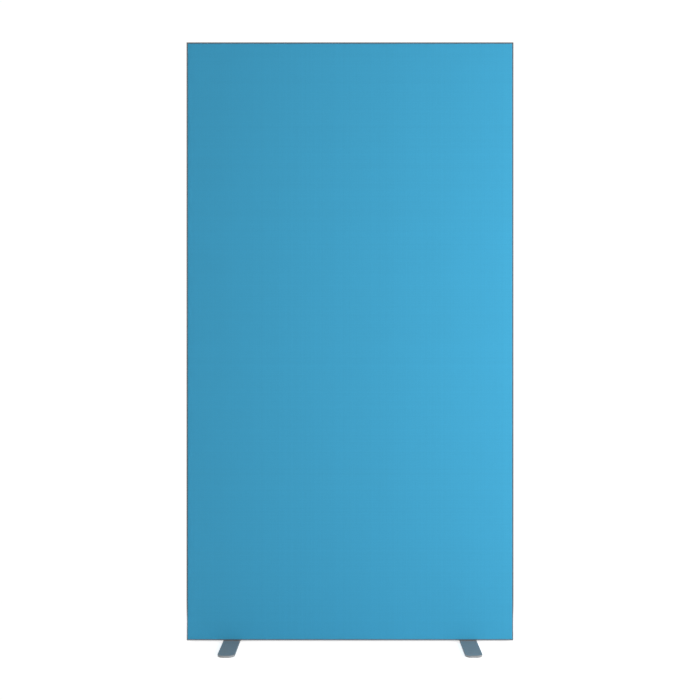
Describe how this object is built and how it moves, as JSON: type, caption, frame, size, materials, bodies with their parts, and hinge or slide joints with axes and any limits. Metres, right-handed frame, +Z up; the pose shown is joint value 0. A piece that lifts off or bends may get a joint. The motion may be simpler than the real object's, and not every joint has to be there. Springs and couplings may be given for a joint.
{
  "type": "partition screen",
  "caption": "Free-standing office partition screen: blue fabric stretched over both faces of a slim aluminium frame with an acoustic core, on two flat steel feet.",
  "frame": {"origin": "on the floor, at the centre of the footprint", "axes": "+X along the panel's width, -Y towards the front, +Z up"},
  "size_m": [0.94, 0.33, 1.7262],
  "materials": {
    "frame_aluminium": "satin anodised, with fine lines along the extrusion",
    "cast_aluminium": "as cast, matt",
    "zinc_plated_steel": "bright zinc plate",
    "acoustic_felt": "pressed polyester felt",
    "blue_fabric": "fine plain weave, tightly stretched",
    "silicone_strip": "translucent white silicone",
    "foot_steel": "silver-grey powder coat, semi-gloss",
    "pad_rubber": "matt black, fine grained"
  },
  "bodies": {
    "root": {"top_rail": "frame_aluminium", "bottom_rail": "frame_aluminium", "left_stile": "frame_aluminium", "right_stile": "frame_aluminium", "crossbar": "frame_aluminium", "corner_bracket_lower_left": "zinc_plated_steel", "corner_bracket_lower_right": "zinc_plated_steel", "corner_bracket_upper_left": "zinc_plated_steel", "corner_bracket_upper_right": "zinc_plated_steel", "corner_grub_screws": "zinc_plated_steel", "crossbar_connector_left": "cast_aluminium", "crossbar_connector_right": "cast_aluminium", "crossbar_grub_screws": "zinc_plated_steel", "acoustic_board_lower": "acoustic_felt", "acoustic_board_upper": "acoustic_felt", "front_fabric": "blue_fabric", "rear_fabric": "blue_fabric", "front_groove_strips": "silicone_strip", "rear_groove_strips": "silicone_strip", "foot_plate_left": "foot_steel", "foot_plate_right": "foot_steel", "foot_screws": "zinc_plated_steel", "foot_nut_plate_left": "zinc_plated_steel", "foot_nut_plate_right": "zinc_plated_steel", "glide_pad_front_left": "pad_rubber", "glide_pad_front_right": "pad_rubber", "glide_pad_rear_left": "pad_rubber", "glide_pad_rear_right": "pad_rubber"}
  },
  "joints": []
}
